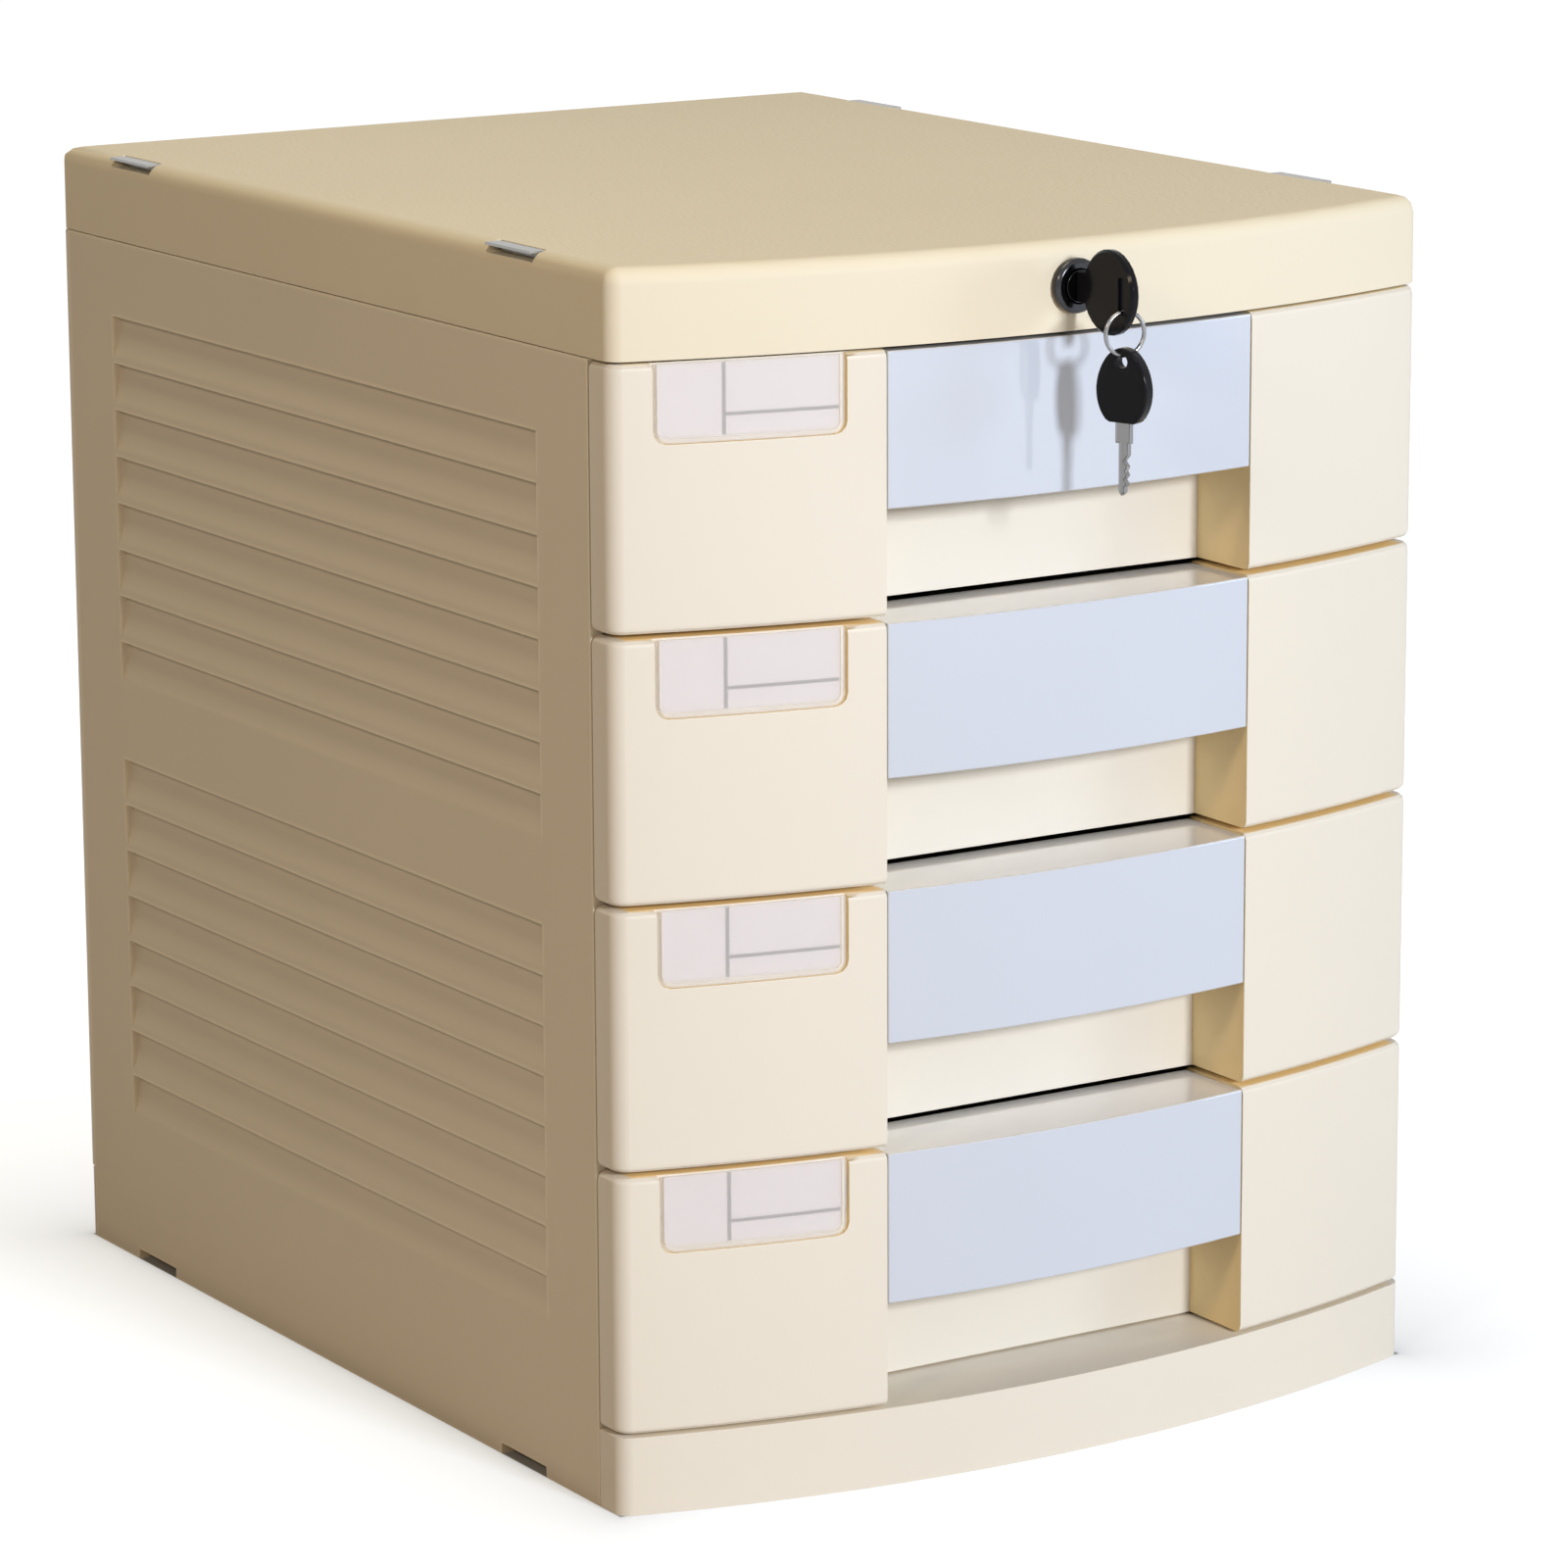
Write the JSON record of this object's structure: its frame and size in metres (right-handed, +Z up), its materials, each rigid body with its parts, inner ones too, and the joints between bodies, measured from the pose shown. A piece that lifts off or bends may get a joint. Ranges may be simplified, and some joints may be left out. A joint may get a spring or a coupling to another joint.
{
  "type": "desktop filing cabinet",
  "caption": "Lockable desktop filing cabinet with stacked bowed drawers that slide on side runners, louvred side panels and a key that drops a rear locking bar.",
  "frame": {"origin": "on the floor, under the middle of the carcass, at the underside of the round pad where the base ribs meet", "axes": "+Z up, -Y towards the drawer fronts, +X towards the right side seen from the front"},
  "size_m": [0.3, 0.4203, 0.385],
  "materials": {
    "cream_plastic": "fine satin, granular on the top",
    "pale_blue_plastic": "high gloss",
    "clear_plastic": "clear, polished",
    "label_paper": "matt, uncoated",
    "key_plastic": "satin moulded",
    "steel": "bright zinc",
    "lock_metal": "dark polished plating"
  },
  "bodies": {
    "cabinet": {"top_cover": "cream_plastic", "left_panel": "cream_plastic", "right_panel": "cream_plastic", "back_panel": "cream_plastic", "base": "cream_plastic", "stacking_clip_front_left": "steel", "stacking_clip_front_right": "steel", "stacking_clip_rear_left": "steel", "stacking_clip_rear_right": "steel", "back_screw_lower_left": "steel", "back_screw_lower_right": "steel", "back_screw_upper_left": "steel", "back_screw_upper_right": "steel", "lock_housing": "lock_metal", "lock_nut": "steel"},
    "drawer_1": {"drawer_tray_1": "cream_plastic", "drawer_catch_1": "steel", "drawer_front_1": "cream_plastic", "handle_plate_1": "pale_blue_plastic", "label_card_1": "label_paper", "label_window_1": "clear_plastic", "front_screw_1_left": "steel", "front_screw_1_right": "steel"},
    "drawer_2": {"drawer_tray_2": "cream_plastic", "drawer_catch_2": "steel", "drawer_front_2": "cream_plastic", "handle_plate_2": "pale_blue_plastic", "label_card_2": "label_paper", "label_window_2": "clear_plastic", "front_screw_2_left": "steel", "front_screw_2_right": "steel"},
    "drawer_3": {"drawer_tray_3": "cream_plastic", "drawer_catch_3": "steel", "drawer_front_3": "cream_plastic", "handle_plate_3": "pale_blue_plastic", "label_card_3": "label_paper", "label_window_3": "clear_plastic", "front_screw_3_left": "steel", "front_screw_3_right": "steel"},
    "drawer_4": {"drawer_tray_4": "cream_plastic", "drawer_catch_4": "steel", "drawer_front_4": "cream_plastic", "handle_plate_4": "pale_blue_plastic", "label_card_4": "label_paper", "label_window_4": "clear_plastic", "front_screw_4_left": "steel", "front_screw_4_right": "steel"},
    "lock": {"lock_plug": "lock_metal", "key_bow": "key_plastic", "key_blade": "steel", "lock_spindle": "steel", "lock_crank": "steel"},
    "locking_bar": {"locking_bar": "steel", "lock_hook_1": "steel", "lock_hook_2": "steel", "lock_hook_3": "steel", "lock_hook_4": "steel"}
  },
  "joints": [
    {"name": "drawer_1_slide", "type": "slide", "parent": "cabinet", "child": "drawer_1", "axis": [0, -1, 0], "range_m": [0, 0.25]},
    {"name": "drawer_2_slide", "type": "slide", "parent": "cabinet", "child": "drawer_2", "axis": [0, -1, 0], "range_m": [0, 0.25]},
    {"name": "drawer_3_slide", "type": "slide", "parent": "cabinet", "child": "drawer_3", "axis": [0, -1, 0], "range_m": [0, 0.25]},
    {"name": "drawer_4_slide", "type": "slide", "parent": "cabinet", "child": "drawer_4", "axis": [0, -1, 0], "range_m": [0, 0.25]},
    {"name": "lock_turn", "type": "hinge", "parent": "cabinet", "child": "lock", "pos_m": [0, -0.205, 0.371], "axis": [0, 1, 0], "range_deg": [0, 90]},
    {"name": "bar_slide", "type": "slide", "parent": "cabinet", "child": "locking_bar", "axis": [0, 0, -1], "range_m": [0, 0.00848]}
  ],
  "couplings": [
    {"joint": "lock_turn", "follows": "bar_slide", "rad_per_m": 185.12}
  ]
}
